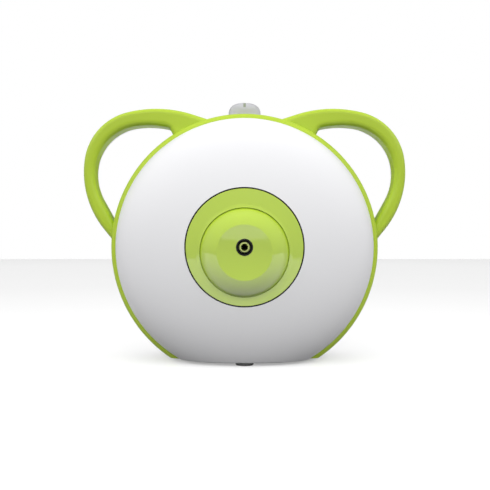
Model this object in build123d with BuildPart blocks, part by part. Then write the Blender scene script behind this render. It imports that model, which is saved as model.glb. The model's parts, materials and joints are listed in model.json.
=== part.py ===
"""Round tabletop suction unit for clearing a child's nose, as an assembly of separate pieces.

Millimetres. +Z is up and -Y is the front. The origin is on the surface that the unit stands on,
below the middle of its bounding box.
"""

import os
from math import asin, cos, degrees, radians, sin

from build123d import *

os.makedirs("parts", exist_ok=True)

# Housing
AXIS_Z = 100.4  # height of the round body's axis
BASE_Z = 2.5  # underside of the housing, which stands on its feet
BODY_R = 118.0
SEAM_R = 113.0  # where the front cover meets the frame
WALL = 2.6
RIM_Y = -3.0  # plane of the seam between front cover and frame
COVER_BULGE = 47.0
LEDGE_Y = 2.0  # the cover's edge rests here, on the frame's web
WEB_THICK = 3.0
WEB_BACK_Y = LEDGE_Y + WEB_THICK
WEB_R = 104.0
FRAME_BACK_Y = 15.0  # plane of the seam between frame and rear shell
BACK_Y = 59.0
BACK_FLAT_R = 77.0
BACK_CURVE_Y = 34.0  # where the rear shell starts to curve in
GAP = 0.15  # clearance between pieces that are fitted by hand

# Ear-shaped carrying handles: tangent arcs, each (radius, degrees turned clockwise)
EAR_FRONT_Y = 3.0
EAR_SEAM_Y = 18.0  # between the frame's part of an ear and the rear shell's
EAR_BACK_Y = 24.0
EAR_EDGE_R = 4.7
EAR_OUTER_START = (46.1, 118.5)
EAR_OUTER_HEADING = 18.0
EAR_OUTER_ARCS = [(106.6, 32.3), (50.6, 67.5), (81.4, 47.3)]
EAR_HOLE_START = (67.0, 106.4)
EAR_HOLE_HEADING = 13.5
EAR_HOLE_ARCS = [(82.0, 21.4), (42.0, 77.2), (48.5, 34.0)]
EAR_HOLE_CORNER_R = 4.0

# Centre panel, its gasket, and the dome round the hose port
PANEL_R = 47.7
GASKET_W = 1.2
GASKET_RECESS = 0.7
PANEL_EDGE_Y = RIM_Y - COVER_BULGE * (1 - (PANEL_R / SEAM_R) ** 2) ** 0.5
PANEL_BACK_Y = -36.6
PANEL_SEAT_Y = -41.0  # the dome's flange lies here, in a recess in the panel's back
PANEL_FLANGE_R = 53.0
PANEL_FLANGE_Y = -41.8
PANEL_TAB_R = 57.0
PANEL_TAB_Y = -38.2
NOSE_DROP = 4.3  # the dome's axis is this far below the body's
DOME_R = 36.2
DOME_CREST_R = 22.2
DOME_CREST_Y = -59.0
DOME_BASE_Y = -47.0
DOME_FLANK_R = 28.0  # the flank's section is an arc
DOME_SEAM = 0.15  # open line round the dome
DOME_DISH_DEPTH = 1.5
DOME_WALL = 2.2
DOME_FLANGE_R = 43.0
DOME_FLANGE = 1.8
DOME_SCREW_R = 40.0
BRACKET_THICK = 2.0
SMALL_SCREW_R = 1.25
SMALL_SCREW_LENGTH = 5.4
PORT_HOLE_R = 6.8
PORT_R = 4.0
PORT_ROOT_R = 4.8  # behind the gap, where the seal holds it
PORT_BORE_R = 2.9
PORT_TIP_Y = -58.0
PORT_WELL_Y = -49.0  # floor of the gap round the port
PORT_BACK_Y = -20.0

# Control knob on top
KNOB_Y = 31.0
KNOB_R = 14.9
KNOB_BASE_Z = 219.2
KNOB_TOP_Z = 233.1
INDEX_DROP = 3.3  # from the knob's top to the middle of its index
KNOB_WALL = 2.2
COLLAR_R = 15.6
COLLAR_TOP_Z = 218.8
COLLAR_FLOOR_Z = 212.0
POT_TOP_Z = 208.0
SHAFT_R = 3.0
RUNNING = 0.05  # radial running clearance

# Feet
FOOT_R = 7.7
FOOT_STEM_R = 2.6
FEET = ((0, -18.0), (-50.0, 34.0), (50.0, 34.0))

# Screws that hold the shells together, on a circle round the body's axis
SCREW_CIRCLE_R = 98.0
REAR_SCREW_ANGLES = (20, 60, 120, 160, 215, 325)
COVER_SCREW_ANGLES = (0, 90, 180, 225, 315)
BOSS_R = 4.5
BOSS_LENGTH = 23.5
PILOT_R = 1.5
SHELL_SCREW_LENGTH = 12.0

# Mains inlet
INLET_Z = 38.0
INLET_W = 22.0
INLET_H = 13.6
INLET_SOCKET = (16.6, 9.4)
INLET_FRONT_Y = 46.0
INLET_PIN_X = 4.3
INLET_PIN_R = 1.2

# Motor, its axis along X, and diaphragm pump, its stroke along Z
PUMP_X = 38.0
PUMP_Y = 14.0
CRANK_Z = 52.0
CRANK_THROW = 2.5
PIN_Z = CRANK_Z + CRANK_THROW
PLATE_Z = 16.0
PLATE_THICK = 1.5
MOUNTS = ((-37.0, 10.0), (37.0, 10.0), (-37.0, 44.0), (37.0, 44.0))
MOTOR_R = 25.0
CAN_X = -49.0
BELL_X = 15.0
CASE_X = 19.0
CASE_LONG = 38.0
CASE_HALF_Y = 26.0
CASE_WALL = 3.0
CASE_TOP_Z = 86.0
SHAFT_X = (-64.0, 30.0)
MOTOR_SHAFT_R = 4.0
BEARING_R = 8.0
HEAD_R = 24.0
CHAMBER_R = 16.0
CLAMP_R = 10.0
VALVE_PLATE_Z = 88.0
HEAD_Z = 99.0
HEAD_TOP_Z = 110.0
VALVE_X = 8.0
HEAD_SCREW_CIRCLE_R = 20.0
BARB_R = 3.0
BARB_BORE_R = 1.8
HOSE_R = 4.6
HOSE_BEND_R = 14.0
FILTER = (0.0, -6.0)
FILTER_R = 12.0
FILTER_Z = (126.0, 158.0)
MUFFLER = (74.0, 30.0)
MUFFLER_R = 12.0
MUFFLER_Z = (60.0, 100.0)

# Control board on the rear shell
BOARD_X = (-86.0, -24.0)
BOARD_Z = (104.0, 148.0)
BOARD_BACK_Y = 49.0
BOARD_THICK = 1.6
BOARD_POSTS = ((-81.0, 109.0), (-81.0, 143.0), (-29.0, 109.0), (-29.0, 143.0))

# Vents in the back: rows of slots either side of the mains inlet
VENT_X = 43.0
VENT_ROWS = 6
VENT_SLOT = (32.0, 3.0)
VENT_PITCH = 6.2
VENT_Z = 70.0

BODY_AXIS = Axis((0, 0, AXIS_Z), (0, 1, 0))
BODY_AXIS_X = Axis((0, RIM_Y - COVER_BULGE, AXIS_Z), (1, 0, 0))
NOSE_AXIS = Axis((0, 0, AXIS_Z - NOSE_DROP), (0, 1, 0))
SECTION = Plane(origin=(0, 0, AXIS_Z), x_dir=(0, 1, 0), z_dir=(1, 0, 0))
NOSE_SECTION = Plane(origin=(0, 0, AXIS_Z - NOSE_DROP), x_dir=(0, 1, 0), z_dir=(1, 0, 0))
BASE_PLANE = Plane.XY.offset(BASE_Z)
FLOOR_PLANE = Plane.XY.offset(BASE_Z + WALL)


def facing_front(y, z=AXIS_Z):
    """Sketch plane at depth y whose x is +X and y is +Z, seen from the front."""
    return Plane(origin=(0, y, z), x_dir=(1, 0, 0), z_dir=(0, -1, 0))


def facing_right(x):
    """Sketch plane at x whose x is +Y and y is +Z."""
    return Plane(origin=(x, 0, 0), x_dir=(0, 1, 0), z_dir=(1, 0, 0))


def on_circle(angles, radius=SCREW_CIRCLE_R):
    """Points round the body's axis, for a sketch on facing_front."""
    return [(radius * cos(radians(a)), radius * sin(radians(a))) for a in angles]


def save(part, name):
    """Labels a finished piece and writes it as its own STEP file."""
    part.label = name
    export_step(part, f"parts/{name}.step")


def arc_chain(start, heading, arcs):
    """Draws tangent arcs that turn clockwise, and returns where they end and the direction there."""
    spot, direction = Vector(*start), Vector(cos(radians(heading)), sin(radians(heading)))
    for radius, sweep_angle in arcs:
        arc = JernArc(start=spot, tangent=direction, radius=radius, arc_size=-sweep_angle)
        spot, direction = arc @ 1, arc % 1
    return spot, direction


def ear(front_y, back_y):
    """One ear handle between two depths, on the +X side, running into the body."""
    with BuildPart() as made:
        with BuildSketch(facing_front(front_y)):
            with BuildLine():
                back = Vector(cos(radians(EAR_OUTER_HEADING)), sin(radians(EAR_OUTER_HEADING))) * 24
                root = Vector(*EAR_OUTER_START) - back
                Line(root, EAR_OUTER_START)
                end, direction = arc_chain(EAR_OUTER_START, EAR_OUTER_HEADING, EAR_OUTER_ARCS)
                foot = end + direction * 22
                Polyline(end, foot, (60, 40), root)
            make_face()
            with BuildSketch(mode=Mode.PRIVATE) as hole:
                with BuildLine():
                    end, direction = arc_chain(EAR_HOLE_START, EAR_HOLE_HEADING, EAR_HOLE_ARCS)
                    Polyline(end, end + direction * 30, (60, 60), (60, 92), EAR_HOLE_START)
                make_face()
                fillet(hole.vertices().sort_by_distance(EAR_HOLE_START)[0], EAR_HOLE_CORNER_R)
            add(hole.sketch, mode=Mode.SUBTRACT)
        extrude(amount=front_y - back_y)
    return made.part


def ear_edges(part, y):
    """The edges of an ear on the plane at y that show outside the body."""
    flat = part.edges().filter_by_position(Axis.Y, y - 0.01, y + 0.01)
    return [edge for edge in flat if abs(edge @ 0.5 - Vector(0, y, AXIS_Z)) > SEAM_R]


def front_half_ellipsoid(shrink, back_y):
    """The front cover's outer form, or its inside when shrunk by the wall, closed at back_y."""
    with BuildPart() as made:
        with BuildSketch(SECTION):
            with BuildLine():
                radius, bulge = SEAM_R - shrink, COVER_BULGE - shrink
                EllipticalCenterArc((RIM_Y, 0), bulge, radius, start_angle=90, arc_size=90)
                Polyline((RIM_Y - bulge, 0), (back_y, 0), (back_y, radius), (RIM_Y, radius))
            make_face()
        revolve(axis=BODY_AXIS)
    return made.part


def rear_form(shrink, front_y):
    """The rear shell's outer form, or its inside when shrunk by the wall, from front_y to the back."""
    with BuildPart() as made:
        with BuildSketch(SECTION):
            with BuildLine():
                radius, back_y = BODY_R - shrink, BACK_Y - shrink
                depth = back_y - BACK_CURVE_Y
                EllipticalCenterArc(
                    (BACK_CURVE_Y, BACK_FLAT_R), depth, radius - BACK_FLAT_R, start_angle=0, arc_size=90
                )
                Polyline(
                    (BACK_CURVE_Y, radius), (front_y, radius), (front_y, 0), (back_y, 0), (back_y, BACK_FLAT_R)
                )
            make_face()
        revolve(axis=BODY_AXIS)
    return made.part


def above(part, plane):
    """What of a part lies above a plane."""
    with BuildPart() as made:
        add(part)
        split(bisect_by=plane, keep=Keep.TOP)
    return made.part


def hose(points, bend):
    """A hollow hose along straight runs joined by arcs of one radius."""
    with BuildPart() as made:
        with BuildLine() as route:
            FilletPolyline(*points, radius=bend)
        with BuildSketch(Plane(route.line @ 0, z_dir=route.line % 0)):
            Circle(HOSE_R)
            Circle(BARB_R, mode=Mode.SUBTRACT)
        sweep()
    return made.part


def wire(points, bend, radius):
    """One insulated wire along straight runs joined by arcs of one radius."""
    with BuildPart() as made:
        with BuildLine() as route:
            FilletPolyline(*points, radius=bend)
        with BuildSketch(Plane(route.line @ 0, z_dir=route.line % 0)):
            Circle(radius)
        sweep()
    return made.part


# Front cover: a white bulging shell with a flat underside and a round opening for the panel
with BuildPart() as front_cover:
    add(above(front_half_ellipsoid(0, LEDGE_Y - GAP), BASE_PLANE))
    fillet(
        front_cover.edges()
        .filter_by_position(Axis.Z, BASE_Z - 0.01, BASE_Z + 0.01)
        .filter_by_position(Axis.Y, RIM_Y - COVER_BULGE, RIM_Y - 5),
        2.0,
    )
    add(above(front_half_ellipsoid(WALL, LEDGE_Y + 5), FLOOR_PLANE), mode=Mode.SUBTRACT)
    with BuildSketch(facing_front(LEDGE_Y - GAP)):
        with Locations(on_circle(COVER_SCREW_ANGLES)):
            Circle(BOSS_R)
    extrude(amount=BOSS_LENGTH)
    with BuildSketch(facing_front(LEDGE_Y - GAP)):
        with Locations(on_circle(COVER_SCREW_ANGLES)):
            Circle(PILOT_R)
    extrude(amount=12, mode=Mode.SUBTRACT)
    with BuildSketch(facing_front(-20)):
        Circle(PANEL_R + GASKET_W)
    extrude(amount=40, mode=Mode.SUBTRACT)
    with Locations((FEET[0][0], FEET[0][1], BASE_Z)):
        Cylinder(FOOT_STEM_R, WALL * 2, mode=Mode.SUBTRACT)
    with BuildSketch(facing_front(PANEL_TAB_Y)):
        with Locations(on_circle((45, 135, 225, 315), PANEL_TAB_R)):
            Circle(3.8)
    extrude(amount=3.8)
    with BuildSketch(facing_front(PANEL_BACK_Y)):
        with Locations(on_circle((45, 135, 225, 315), PANEL_TAB_R)):
            Circle(SMALL_SCREW_R)
    extrude(amount=SMALL_SCREW_LENGTH, mode=Mode.SUBTRACT)
save(front_cover.part, "front_cover")

# Frame: the green ring between the two shells, with the front part of both ears
with BuildPart() as frame_ring:
    with BuildSketch(SECTION):
        with BuildLine():
            edge = BODY_R - SEAM_R
            RadiusArc((RIM_Y, SEAM_R), (RIM_Y + edge, BODY_R), edge)
            Polyline((RIM_Y + edge, BODY_R), (FRAME_BACK_Y, BODY_R), (FRAME_BACK_Y, 0), (RIM_Y, 0), (RIM_Y, SEAM_R))
        make_face()
    revolve(axis=BODY_AXIS)

with BuildPart() as frame_ear:
    add(ear(EAR_FRONT_Y, EAR_SEAM_Y))
    fillet(ear_edges(frame_ear, EAR_FRONT_Y), EAR_EDGE_R)
    with BuildSketch(facing_front(EAR_SEAM_Y)):
        Circle(BODY_R)
    extrude(amount=EAR_SEAM_Y - FRAME_BACK_Y, mode=Mode.SUBTRACT)

with BuildPart() as frame_cavity:
    with BuildSketch(facing_front(WEB_BACK_Y)):
        Circle(BODY_R - WALL)
    extrude(amount=WEB_BACK_Y - FRAME_BACK_Y)
    with BuildSketch(facing_front(WEB_BACK_Y)):
        Circle(WEB_R)
    extrude(amount=WEB_THICK)
    split(bisect_by=FLOOR_PLANE, keep=Keep.TOP)

with BuildPart() as frame:
    add(frame_ear.part)
    mirror(about=Plane.YZ)
    add(frame_ring.part)
    split(bisect_by=BASE_PLANE, keep=Keep.TOP)
    with BuildSketch(facing_front(LEDGE_Y)):
        Circle(SEAM_R + GAP)
    extrude(amount=10, mode=Mode.SUBTRACT)
    add(frame_cavity.part, mode=Mode.SUBTRACT)
    with BuildSketch(facing_front(WEB_BACK_Y)):
        with Locations(on_circle(REAR_SCREW_ANGLES + COVER_SCREW_ANGLES)):
            Circle(BOSS_R + 3)
    extrude(amount=WEB_THICK)
    with BuildSketch(facing_front(WEB_BACK_Y)):
        with Locations(on_circle(REAR_SCREW_ANGLES)):
            Circle(BOSS_R)
    extrude(amount=WEB_BACK_Y - FRAME_BACK_Y)
    with BuildSketch(facing_front(FRAME_BACK_Y)):
        with Locations(on_circle(REAR_SCREW_ANGLES)):
            Circle(PILOT_R)
    extrude(amount=FRAME_BACK_Y - LEDGE_Y - 1, mode=Mode.SUBTRACT)
    with BuildSketch(facing_front(WEB_BACK_Y)):
        with Locations(on_circle(COVER_SCREW_ANGLES)):
            Circle(PILOT_R + 0.2)
    extrude(amount=WEB_THICK, mode=Mode.SUBTRACT)
save(frame.part, "handle_frame")

# Rear shell: white, with the back part of both ears, vents, screw tubes and the knob's collar
TUBE_SEAT_Y = FRAME_BACK_Y + 4
with BuildPart() as rear_ear:
    add(ear(EAR_SEAM_Y, EAR_BACK_Y))
    fillet(ear_edges(rear_ear, EAR_BACK_Y), EAR_EDGE_R)

with BuildPart() as rear_posts:
    with BuildSketch(facing_front(FRAME_BACK_Y)):
        with Locations(on_circle(REAR_SCREW_ANGLES)):
            Circle(BOSS_R)
    extrude(amount=-60)
    with BuildSketch(facing_front(BOARD_BACK_Y, 0)):
        with Locations(BOARD_POSTS):
            Circle(3.5)
    extrude(amount=-20)
    add(rear_form(WALL / 2, FRAME_BACK_Y), mode=Mode.INTERSECT)

with BuildPart() as rear_shell:
    add(rear_ear.part)
    mirror(about=Plane.YZ)
    add(rear_form(0, FRAME_BACK_Y))
    split(bisect_by=BASE_PLANE, keep=Keep.TOP)
    add(above(rear_form(WALL, FRAME_BACK_Y - 5), FLOOR_PLANE), mode=Mode.SUBTRACT)
    add(rear_posts.part)
    with BuildSketch(Plane.XY.offset(COLLAR_TOP_Z)):
        with Locations((0, KNOB_Y)):
            Circle(COLLAR_R)
    extrude(amount=POT_TOP_Z - COLLAR_TOP_Z)
    with BuildSketch(Plane.XY.offset(COLLAR_TOP_Z)):
        with Locations((0, KNOB_Y)):
            Circle(COLLAR_R - 2)
    extrude(amount=COLLAR_FLOOR_Z - COLLAR_TOP_Z, mode=Mode.SUBTRACT)
    with BuildSketch(Plane.XY.offset(COLLAR_FLOOR_Z)):
        with Locations((0, KNOB_Y)):
            Circle(4.5)
    extrude(amount=POT_TOP_Z - COLLAR_FLOOR_Z, mode=Mode.SUBTRACT)
    with BuildSketch(facing_front(TUBE_SEAT_Y)):
        with Locations(on_circle(REAR_SCREW_ANGLES)):
            Circle(BOSS_R - 1)
    extrude(amount=-60, mode=Mode.SUBTRACT)
    with BuildSketch(facing_front(TUBE_SEAT_Y)):
        with Locations(on_circle(REAR_SCREW_ANGLES)):
            Circle(PILOT_R + 0.2)
    extrude(amount=TUBE_SEAT_Y - FRAME_BACK_Y, mode=Mode.SUBTRACT)
    with BuildSketch(facing_front(BOARD_BACK_Y, 0)):
        with Locations(BOARD_POSTS):
            Circle(SMALL_SCREW_R)
    extrude(amount=-4, mode=Mode.SUBTRACT)
    with BuildSketch(facing_front(BACK_Y, INLET_Z)):
        Rectangle(INLET_W, INLET_H)
    extrude(amount=WALL, mode=Mode.SUBTRACT)
    with BuildSketch(facing_front(BACK_Y, VENT_Z)):
        for side in (-1, 1):
            with Locations((side * VENT_X, 0)):
                with GridLocations(0, VENT_PITCH, 1, VENT_ROWS):
                    SlotOverall(*VENT_SLOT)
    extrude(amount=WALL, mode=Mode.SUBTRACT)
    with BuildSketch(facing_front(BACK_Y, AXIS_Z + 48)):
        RectangleRounded(54, 26, 2)
    extrude(amount=0.5, mode=Mode.SUBTRACT)
    with BuildSketch(Plane.XY.offset(BASE_Z)):
        with Locations(FEET[1], FEET[2]):
            Circle(FOOT_STEM_R)
    extrude(amount=WALL, mode=Mode.SUBTRACT)
save(rear_shell.part, "rear_shell")

# Centre panel: green, carries on the cover's bulge, and swells a little towards the dome's hole
SQUARE_ANGLES = (45, 135, 225, 315)
DOME_HOLE_R = DOME_R + DOME_SEAM
SWELL_TILT = 0.9  # turns the swell square to the bulge, below the body's axis
SWELL_TOP_Y = -48.6
SWELL_FOOT = (-46.75, 41.0)
SWELL_BACK_Y = -45.0
SWELL_R = 15.0

with BuildPart() as panel_swell:
    with BuildSketch(SECTION):
        with BuildLine():
            RadiusArc((SWELL_TOP_Y, DOME_R - 1), SWELL_FOOT, -SWELL_R)
            Polyline(
                SWELL_FOOT,
                (SWELL_BACK_Y, SWELL_FOOT[1]),
                (SWELL_BACK_Y, DOME_R - 1),
                (SWELL_TOP_Y, DOME_R - 1),
            )
        make_face()
    revolve(axis=BODY_AXIS)

with BuildPart() as centre_panel:
    with BuildSketch(SECTION):
        with BuildLine():
            edge_angle = degrees(asin(PANEL_R / SEAM_R))
            EllipticalCenterArc(
                (RIM_Y, 0), COVER_BULGE, SEAM_R, start_angle=180 - edge_angle, arc_size=edge_angle
            )
            Polyline(
                (RIM_Y - COVER_BULGE, 0),
                (PANEL_BACK_Y, 0),
                (PANEL_BACK_Y, PANEL_FLANGE_R),
                (PANEL_FLANGE_Y, PANEL_FLANGE_R),
                (PANEL_FLANGE_Y, PANEL_R),
                (PANEL_EDGE_Y, PANEL_R),
            )
        make_face()
    revolve(axis=BODY_AXIS)
    add(panel_swell.part.rotate(BODY_AXIS_X, SWELL_TILT).translate((0, 0, -NOSE_DROP)))
    with BuildSketch(facing_front(PANEL_BACK_Y)):
        with Locations(on_circle(SQUARE_ANGLES, PANEL_TAB_R)):
            Circle(5)
    extrude(amount=PANEL_BACK_Y - PANEL_TAB_Y)
    with BuildSketch(facing_front(PANEL_BACK_Y)):
        with Locations(on_circle(SQUARE_ANGLES, PANEL_TAB_R)):
            Circle(SMALL_SCREW_R)
    extrude(amount=PANEL_BACK_Y - PANEL_TAB_Y, mode=Mode.SUBTRACT)
    with BuildSketch(facing_front(PANEL_BACK_Y, AXIS_Z - NOSE_DROP)):
        Circle(DOME_HOLE_R)
    extrude(amount=20, mode=Mode.SUBTRACT)
    with BuildSketch(facing_front(PANEL_BACK_Y, AXIS_Z - NOSE_DROP)):
        Circle(DOME_FLANGE_R + GAP)
    extrude(amount=PANEL_BACK_Y - PANEL_SEAT_Y, mode=Mode.SUBTRACT)
    dome_stack = DOME_FLANGE + BRACKET_THICK
    with BuildSketch(facing_front(PANEL_SEAT_Y, AXIS_Z - NOSE_DROP)):
        with Locations(on_circle(SQUARE_ANGLES, DOME_SCREW_R)):
            Circle(SMALL_SCREW_R)
    extrude(amount=SMALL_SCREW_LENGTH - dome_stack, mode=Mode.SUBTRACT)
save(centre_panel.part, "centre_panel")

# Gasket: the thin dark line round the panel
with BuildPart() as panel_gasket:
    with BuildSketch(facing_front(PANEL_FLANGE_Y)):
        Circle(PANEL_R + GASKET_W)
        Circle(PANEL_R, mode=Mode.SUBTRACT)
    extrude(amount=PANEL_FLANGE_Y - PANEL_EDGE_Y - GASKET_RECESS)
save(panel_gasket.part, "panel_gasket")

# Dome: rises out of the panel, with a shallow dish in its end
DISH_R = (DOME_CREST_R**2 + DOME_DISH_DEPTH**2) / (2 * DOME_DISH_DEPTH)
DISH_CENTRE_Y = DOME_CREST_Y + DOME_DISH_DEPTH - DISH_R
DOME_BACK_Y = PANEL_SEAT_Y + DOME_FLANGE


def dish_arc(radius):
    """Half of the dish's section, from the dome's axis out to the crest."""
    return CenterArc((DISH_CENTRE_Y, 0), radius, 0, degrees(asin(DOME_CREST_R / radius)))


with BuildPart() as nose_dome:
    with BuildSketch(NOSE_SECTION):
        with BuildLine():
            outer_dish = dish_arc(DISH_R)
            inner_dish = dish_arc(DISH_R + DOME_WALL)
            RadiusArc(outer_dish @ 1, (DOME_BASE_Y, DOME_R), DOME_FLANK_R)
            RadiusArc(inner_dish @ 1, (DOME_BASE_Y, DOME_R - DOME_WALL), DOME_FLANK_R - DOME_WALL)
            Line(outer_dish @ 0, inner_dish @ 0)
            Polyline(
                (DOME_BASE_Y, DOME_R),
                (PANEL_SEAT_Y, DOME_R),
                (PANEL_SEAT_Y, DOME_FLANGE_R),
                (DOME_BACK_Y, DOME_FLANGE_R),
                (DOME_BACK_Y, DOME_R - DOME_WALL),
                (DOME_BASE_Y, DOME_R - DOME_WALL),
            )
        make_face()
    revolve(axis=NOSE_AXIS)
    with BuildSketch(facing_front(DOME_BACK_Y)):
        Circle(PORT_HOLE_R)
    extrude(amount=40, mode=Mode.SUBTRACT)
    with BuildSketch(facing_front(DOME_BACK_Y, AXIS_Z - NOSE_DROP)):
        with Locations(on_circle(SQUARE_ANGLES, DOME_SCREW_R)):
            Circle(SMALL_SCREW_R)
    extrude(amount=DOME_FLANGE, mode=Mode.SUBTRACT)
save(nose_dome.part, "nose_dome")

# Bracket behind the dome, which carries the port
BRACKET_BACK_Y = DOME_BACK_Y + BRACKET_THICK
with BuildPart() as port_bracket:
    with BuildSketch(facing_front(BRACKET_BACK_Y, AXIS_Z - NOSE_DROP)):
        Circle(DOME_FLANGE_R)
        with Locations(on_circle(SQUARE_ANGLES, DOME_SCREW_R)):
            Circle(SMALL_SCREW_R, mode=Mode.SUBTRACT)
        with Locations((0, NOSE_DROP)):
            Circle(BARB_R, mode=Mode.SUBTRACT)
    extrude(amount=BRACKET_THICK)
save(port_bracket.part, "port_bracket")

# Hose port: the nipple that the patient hose slips over, with a barb behind for the inner hose
with BuildPart() as hose_port:
    with BuildSketch(SECTION):
        with BuildLine():
            Polyline(
                (PORT_TIP_Y, PORT_BORE_R),
                (PORT_TIP_Y, PORT_R - 0.3),
                (PORT_TIP_Y + 0.3, PORT_R),
                (PORT_WELL_Y, PORT_R),
                (PORT_WELL_Y, PORT_ROOT_R),
                (DOME_BACK_Y - 3, PORT_ROOT_R),
                (DOME_BACK_Y - 3, 11),
                (DOME_BACK_Y, 11),
                (DOME_BACK_Y, BARB_R),
                (PORT_BACK_Y, BARB_R),
                (PORT_BACK_Y, BARB_BORE_R),
                (DOME_BACK_Y - 2, BARB_BORE_R),
                (DOME_BACK_Y - 4, PORT_BORE_R),
                (PORT_TIP_Y, PORT_BORE_R),
            )
        make_face()
    revolve(axis=BODY_AXIS)
save(hose_port.part, "hose_port")

# Rubber seal round the port, its flange behind the dome's skin
SEAL_FLANGE_Y = DOME_CREST_Y + DOME_DISH_DEPTH + DOME_WALL + 0.1
with BuildPart() as port_seal:
    with BuildSketch(SECTION):
        with BuildLine():
            Polyline(
                (PORT_TIP_Y + 0.6, PORT_HOLE_R - 1.2),
                (PORT_TIP_Y + 0.2, PORT_HOLE_R),
                (SEAL_FLANGE_Y, PORT_HOLE_R),
                (SEAL_FLANGE_Y, 9),
                (PORT_WELL_Y + 2, 9),
                (PORT_WELL_Y + 2, PORT_ROOT_R),
                (PORT_WELL_Y, PORT_ROOT_R),
                (PORT_WELL_Y, PORT_HOLE_R - 1.2),
                (PORT_TIP_Y + 0.6, PORT_HOLE_R - 1.2),
            )
        make_face()
    revolve(axis=BODY_AXIS)
save(port_seal.part, "port_seal")


# Shell screws: five from the frame's web into the cover, six from the back into the frame
def shell_screws(angles, seat_y, length):
    """Pan-head screws on the screw circle, their heads behind seat_y."""
    with BuildPart() as made:
        with BuildSketch(facing_front(seat_y)):
            with Locations(on_circle(angles)):
                Circle(3.0)
        extrude(amount=-2.4)
        with BuildSketch(facing_front(seat_y + 2.4)):
            with Locations(on_circle(angles)):
                Rectangle(3.2, 0.7)
                Rectangle(0.7, 3.2)
        extrude(amount=1.3, mode=Mode.SUBTRACT)
        with BuildSketch(facing_front(seat_y)):
            with Locations(on_circle(angles)):
                Circle(PILOT_R)
        extrude(amount=length)
    return made.part


save(shell_screws(COVER_SCREW_ANGLES, WEB_BACK_Y, SHELL_SCREW_LENGTH), "cover_screws")
save(shell_screws(REAR_SCREW_ANGLES, TUBE_SEAT_Y, SHELL_SCREW_LENGTH), "rear_screws")


# Knob, with an index insert let into its front top edge
def knob_form(shrink):
    """The knob's outer form, or the same form shrunk."""
    with BuildPart() as made:
        with Locations((0, KNOB_Y, (KNOB_BASE_Z + KNOB_TOP_Z - shrink) / 2)):
            Cylinder(KNOB_R - shrink, KNOB_TOP_Z - shrink - KNOB_BASE_Z)
        fillet(made.edges().group_by(Axis.Z)[-1], 8.5 - shrink)
    return made.part


with BuildPart() as knob_index:
    add(knob_form(0))
    add(knob_form(0.9), mode=Mode.SUBTRACT)
    with Locations((0, KNOB_Y - KNOB_R / 2 - 4, KNOB_TOP_Z - INDEX_DROP)):
        Box(2.2, KNOB_R, 4.4, mode=Mode.INTERSECT)
save(knob_index.part, "knob_index")

with BuildPart() as knob:
    add(knob_form(0))
    with BuildSketch(Plane.XY.offset(KNOB_BASE_Z)):
        with Locations((0, KNOB_Y)):
            Circle(KNOB_R - KNOB_WALL)
            Circle(6, mode=Mode.SUBTRACT)
    extrude(amount=5.5, mode=Mode.SUBTRACT)
    with BuildSketch(Plane.XY.offset(KNOB_BASE_Z)):
        with Locations((0, KNOB_Y)):
            Circle(SHAFT_R)
    extrude(amount=11, mode=Mode.SUBTRACT)
    add(knob_index.part, mode=Mode.SUBTRACT)
save(knob.part, "knob")

# Shaft from the knob into the potentiometer
with BuildPart() as knob_shaft:
    with BuildSketch(Plane.XY.offset(POT_TOP_Z - 8)):
        with Locations((0, KNOB_Y)):
            Circle(SHAFT_R)
    extrude(amount=KNOB_BASE_Z + 11 - POT_TOP_Z + 8)
    with BuildSketch(Plane.XY.offset(POT_TOP_Z - 9.5)):
        with Locations((0, KNOB_Y)):
            Circle(6)
    extrude(amount=1.5)
save(knob_shaft.part, "knob_shaft")

# Potentiometer with a threaded bushing, which a nut clamps in the collar's floor
with BuildPart() as potentiometer:
    with BuildSketch(Plane.XY.offset(POT_TOP_Z - 14)):
        with Locations((0, KNOB_Y)):
            Circle(8.5)
    extrude(amount=14)
    with BuildSketch(Plane.XY.offset(POT_TOP_Z)):
        with Locations((0, KNOB_Y)):
            Circle(4.5)
    extrude(amount=8)
    with BuildSketch(Plane.XY.offset(POT_TOP_Z - 10)):
        with Locations((0, KNOB_Y)):
            Circle(6.5)
    extrude(amount=2.4, mode=Mode.SUBTRACT)
    with BuildSketch(Plane.XY.offset(POT_TOP_Z - 10)):
        with Locations((0, KNOB_Y)):
            Circle(SHAFT_R + RUNNING)
    extrude(amount=20, mode=Mode.SUBTRACT)
save(potentiometer.part, "potentiometer")

with BuildPart() as pot_nut:
    with BuildSketch(Plane.XY.offset(COLLAR_FLOOR_Z)):
        with Locations((0, KNOB_Y)):
            RegularPolygon(7.2, 6)
            Circle(4.5, mode=Mode.SUBTRACT)
    extrude(amount=2.4)
save(pot_nut.part, "pot_nut")

# Felt ring in the collar, under the knob
with BuildPart() as knob_ring:
    with BuildSketch(Plane.XY.offset(COLLAR_FLOOR_Z)):
        with Locations((0, KNOB_Y)):
            Circle(COLLAR_R - 2)
            Circle(COLLAR_R - 4.5, mode=Mode.SUBTRACT)
    extrude(amount=COLLAR_TOP_Z - COLLAR_FLOOR_Z + 0.2)
save(knob_ring.part, "knob_ring")

# Three rubber feet, pushed into holes in the shells' undersides
with BuildPart() as rubber_feet:
    for bottom, top, radius in ((0, BASE_Z, FOOT_R), (BASE_Z, BASE_Z + WALL, FOOT_STEM_R)):
        with BuildSketch(Plane.XY.offset(bottom)):
            with Locations(*FEET):
                Circle(radius)
        extrude(amount=top - bottom)
    with BuildSketch(Plane.XY.offset(BASE_Z + WALL)):
        with Locations(*FEET):
            Circle(FOOT_STEM_R + 1)
    extrude(amount=1.6, taper=25)
    chamfer(rubber_feet.edges().group_by(Axis.Z)[0], 0.5)
save(rubber_feet.part, "rubber_feet")

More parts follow.
